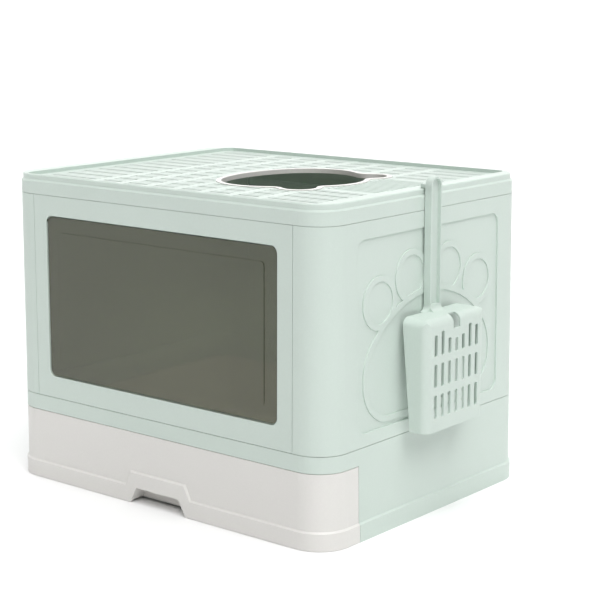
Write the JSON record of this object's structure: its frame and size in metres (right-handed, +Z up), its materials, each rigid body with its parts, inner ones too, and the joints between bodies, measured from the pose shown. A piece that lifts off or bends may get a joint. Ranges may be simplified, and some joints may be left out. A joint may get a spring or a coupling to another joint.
{
  "type": "top entry litter box",
  "caption": "Rectangular enclosed pet litter box with a cat-head entry hole in its slotted lid, a swinging smoked window, a wrap-round litter drawer and a scoop hung on the rim",
  "frame": {"origin": "middle of the underside of the foot flange, on the floor", "axes": "+X along the front to the side where the scoop hangs, +Y from the drawer front to the back, +Z up; the window and the drawer face -Y"},
  "size_m": [0.5182, 0.38, 0.378],
  "materials": {
    "green_plastic": "pale sage green injection-moulded plastic, fine satin",
    "white_plastic": "warm white injection-moulded plastic, fine satin",
    "smoked_plastic": "transparent smoked brown-grey plastic, glossy"
  },
  "bodies": {
    "housing": {"base_shell": "green_plastic", "front_frame": "green_plastic", "rear_panel": "green_plastic", "left_side_shell": "green_plastic", "right_side_shell": "green_plastic"},
    "drawer": {"drawer": "white_plastic"},
    "window": {"window_flap": "smoked_plastic"},
    "lid": {"lid": "green_plastic", "entry_ring": "white_plastic", "ribbed_cover": "green_plastic"},
    "scoop": {"scoop": "green_plastic"}
  },
  "joints": [
    {"name": "drawer_slide", "type": "slide", "parent": "housing", "child": "drawer", "axis": [0, -1, 0], "range_m": [0, 0.34]},
    {"name": "window_swing", "type": "hinge", "parent": "housing", "child": "window", "pos_m": [0, -0.1827, 0.31298], "axis": [1, 0, 0], "range_deg": [-80, 75]},
    {"name": "lid_lift", "type": "slide", "parent": "housing", "child": "lid", "axis": [0, 0, 1], "range_m": [0, 0.15]},
    {"name": "scoop_lift", "type": "slide", "parent": "lid", "child": "scoop", "axis": [0, 0, 1], "range_m": [0, 0.06]}
  ]
}
